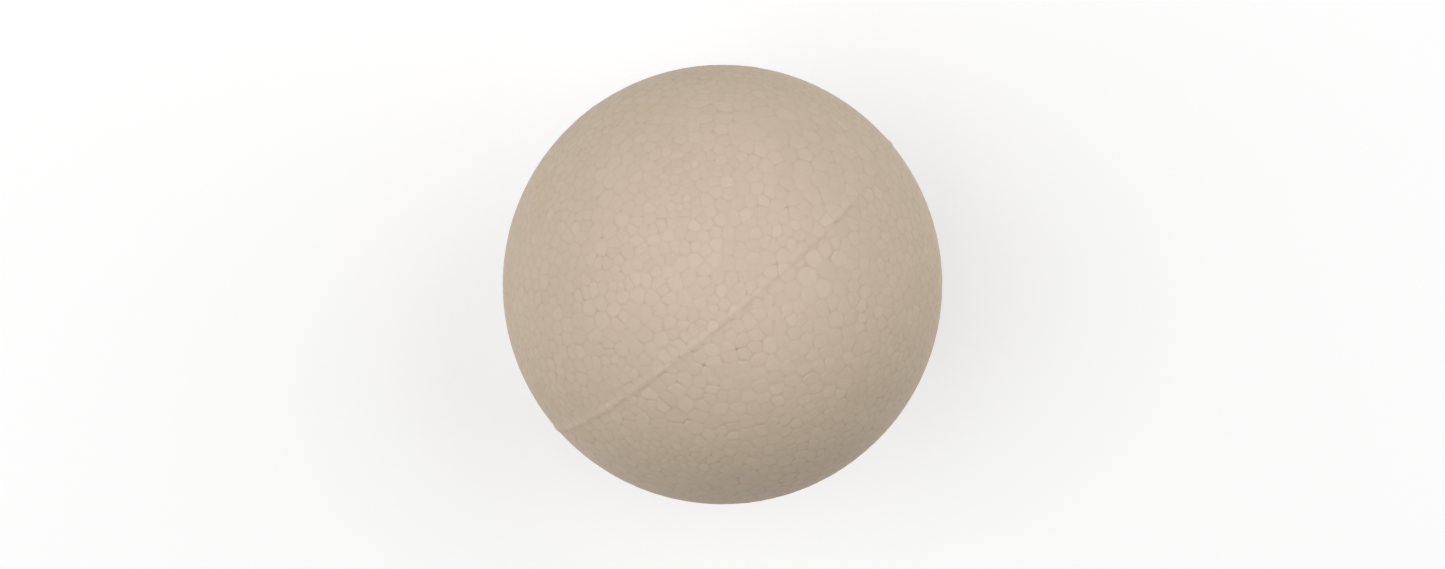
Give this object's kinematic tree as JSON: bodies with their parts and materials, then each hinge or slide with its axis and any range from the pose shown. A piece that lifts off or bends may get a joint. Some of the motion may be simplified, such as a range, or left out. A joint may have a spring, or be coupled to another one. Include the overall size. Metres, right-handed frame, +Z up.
{
  "type": "polystyrene ball",
  "caption": "Solid moulded bead-foam craft ball with a fine raised mould seam round its middle and a shallow sunk flat disc at one pole.",
  "frame": {"origin": "the middle of the ball", "axes": "+X along the axis on which the two mould halves draw apart, out through the middle of the sunk disc; the mould seam lies in the YZ plane; +Z up"},
  "size_m": [0.0692, 0.0704, 0.0704],
  "materials": {
    "bead_foam": "dry, matt expanded bead foam in a warm off-white, with faint joints between beads about 2 mm across"
  },
  "bodies": {
    "root": {"ball": "bead_foam"}
  },
  "joints": []
}
